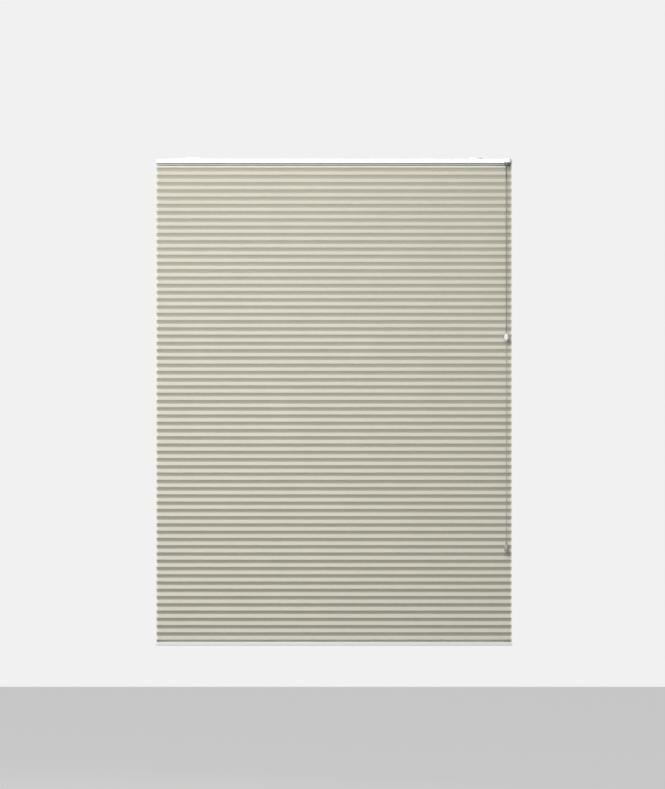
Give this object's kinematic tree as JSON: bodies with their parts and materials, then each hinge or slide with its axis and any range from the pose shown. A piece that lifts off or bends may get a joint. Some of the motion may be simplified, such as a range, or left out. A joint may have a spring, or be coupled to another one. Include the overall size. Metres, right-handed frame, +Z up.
{
  "type": "pleated blind",
  "caption": "Cellular pleated blind that lifts by a front cord lock: headrail, honeycomb fabric, bottom rail, lift cords, connector, pull cord, tassel and clip brackets.",
  "frame": {"origin": "centre of the four screw holes, on the top face of the two brackets, which is the face that is screwed up under the window head", "axes": "+Z up; +X along the width, to the cord lock's end; -Y faces the room, where the cords hang"},
  "size_m": [0.98, 0.0641, 1.3432],
  "materials": {
    "headrail_white": "satin powder coat",
    "rail_white": "satin powder coat",
    "cap_grey": "fine moulded",
    "cap_white": "fine moulded",
    "strip_plastic": "extruded",
    "cellular_fabric": "spun-bonded, semi-opaque",
    "lock_white": "moulded",
    "outlet_plastic": "moulded",
    "lock_metal": "turned",
    "cord": "braided",
    "connector_plastic": "moulded",
    "tassel_plastic": "moulded",
    "bracket_steel": "zinc plated and lacquered",
    "lever_plastic": "moulded",
    "rivet_steel": "plain"
  },
  "bodies": {
    "headrail": {"headrail": "headrail_white", "headrail_end_cap_left": "cap_grey", "headrail_end_cap_right": "cap_grey", "top_fabric_strip": "strip_plastic", "honeycomb_fabric": "cellular_fabric", "cord_lock_body": "lock_white", "cord_lock_front_pin": "lock_metal", "cord_lock_post": "lock_metal", "cord_outlet": "outlet_plastic", "cord_guide_left": "lock_white", "lift_cord_left": "cord", "cord_guide_middle": "lock_white", "lift_cord_middle": "cord", "cord_guide_right": "lock_white", "lift_cord_right": "cord", "bracket_left": "bracket_steel", "bracket_rivet_left": "rivet_steel", "bracket_right": "bracket_steel", "bracket_rivet_right": "rivet_steel"},
    "bottom_rail": {"bottom_rail": "rail_white", "bottom_rail_end_cap_left": "cap_white", "bottom_rail_end_cap_right": "cap_white", "bottom_fabric_strip": "strip_plastic", "cord_washer_left": "strip_plastic", "cord_washer_middle": "strip_plastic", "cord_washer_right": "strip_plastic"},
    "pull": {"connector_top": "connector_plastic", "connector_bottom": "connector_plastic", "pull_cord": "cord", "tassel": "tassel_plastic", "hanging_cord_left": "cord", "hanging_cord_middle": "cord", "hanging_cord_right": "cord"},
    "lock_roller": {"cord_lock_roller": "lock_metal"},
    "lever_left": {"bracket_lever_left": "lever_plastic"},
    "lever_right": {"bracket_lever_right": "lever_plastic"}
  },
  "joints": [
    {"name": "bottom_rail_lift", "type": "slide", "parent": "headrail", "child": "bottom_rail", "axis": [0, 0, 1], "range_m": [0, 1.227], "deforming": ["honeycomb_fabric", "lift_cord_left", "lift_cord_middle", "lift_cord_right"]},
    {"name": "pull_cord_draw", "type": "slide", "parent": "headrail", "child": "pull", "axis": [0, 0, -1], "range_m": [0, 1.227], "deforming": ["hanging_cord_left", "hanging_cord_middle", "hanging_cord_right"]},
    {"name": "lock_roller_release", "type": "slide", "parent": "headrail", "child": "lock_roller", "axis": [0, -0.9063, 0.4226], "range_m": [0, 0.0016]},
    {"name": "bracket_lever_left_turn", "type": "hinge", "parent": "headrail", "child": "lever_left", "pos_m": [-0.39, 0.005, -0.0036], "axis": [0, 0, -1], "range_deg": [0, 90]},
    {"name": "bracket_lever_right_turn", "type": "hinge", "parent": "headrail", "child": "lever_right", "pos_m": [0.39, 0.005, -0.0036], "axis": [0, 0, 1], "range_deg": [0, 90]}
  ],
  "couplings": [
    {"joint": "pull_cord_draw", "follows": "bottom_rail_lift", "ratio": 1}
  ]
}
